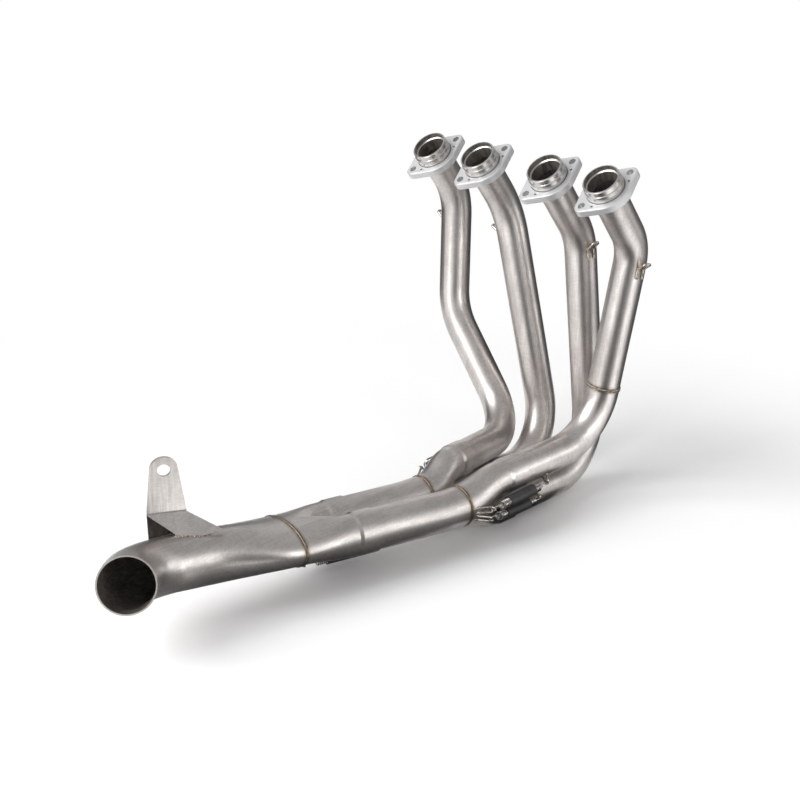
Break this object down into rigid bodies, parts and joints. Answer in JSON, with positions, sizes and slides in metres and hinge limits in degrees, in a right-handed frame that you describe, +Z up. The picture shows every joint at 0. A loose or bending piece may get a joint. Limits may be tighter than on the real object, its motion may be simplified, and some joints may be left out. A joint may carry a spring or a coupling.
{
  "type": "motorcycle exhaust header",
  "caption": "Motorcycle exhaust header: bent steel tubes from two-stud port flanges merge through spring-held slip joints into one outlet pipe with a hanger bracket.",
  "frame": {"origin": "centre of the bounding box's base, at the level of the lowest point", "axes": "+Z up, +Y forward from the outlet to the port row, +X along the port row from port 1 to port 4"},
  "size_m": [0.3246, 0.688, 0.4063],
  "materials": {
    "tube_steel": "satin, lightly brushed",
    "collector_steel": "satin, formed sheet",
    "flange_aluminium": "fine satin",
    "collar_steel": "turned",
    "bracket_steel": "satin sheet",
    "hook_wire": "drawn wire",
    "spring_wire": "bright",
    "sleeve_rubber": "matt"
  },
  "bodies": {
    "root": {"port_collar_1": "collar_steel", "port_flange_1": "flange_aluminium", "primary_tube_1": "tube_steel", "tube_ear_1": "hook_wire", "collector_branch_1": "collector_steel", "tube_hook_1": "hook_wire", "branch_hook_1": "hook_wire", "spring_1": "spring_wire", "spring_sleeve_1": "sleeve_rubber", "port_collar_2": "collar_steel", "port_flange_2": "flange_aluminium", "primary_tube_2": "tube_steel", "tube_ear_2": "hook_wire", "collector_branch_2": "collector_steel", "tube_hook_2": "hook_wire", "branch_hook_2": "hook_wire", "spring_2": "spring_wire", "spring_sleeve_2": "sleeve_rubber", "port_collar_3": "collar_steel", "port_flange_3": "flange_aluminium", "primary_tube_3": "tube_steel", "tube_ear_3": "hook_wire", "collector_branch_3": "collector_steel", "tube_hook_3": "hook_wire", "branch_hook_3": "hook_wire", "spring_3": "spring_wire", "spring_sleeve_3": "sleeve_rubber", "port_collar_4": "collar_steel", "port_flange_4": "flange_aluminium", "primary_tube_4_upper": "tube_steel", "primary_tube_4_lower": "tube_steel", "tube_ear_4": "hook_wire", "collector_branch_4": "collector_steel", "tube_hook_4": "hook_wire", "branch_hook_4": "hook_wire", "spring_4": "spring_wire", "spring_sleeve_4": "sleeve_rubber", "mid_pipe_left": "tube_steel", "final_branch_left": "collector_steel", "tube_hook_left": "hook_wire", "branch_hook_left": "hook_wire", "spring_left": "spring_wire", "spring_sleeve_left": "sleeve_rubber", "mid_pipe_right": "tube_steel", "final_branch_right": "collector_steel", "tube_hook_right": "hook_wire", "branch_hook_right": "hook_wire", "spring_right": "spring_wire", "spring_sleeve_right": "sleeve_rubber", "outlet_pipe": "tube_steel", "hanger_bracket": "bracket_steel", "bracket_leg": "bracket_steel"}
  },
  "joints": []
}
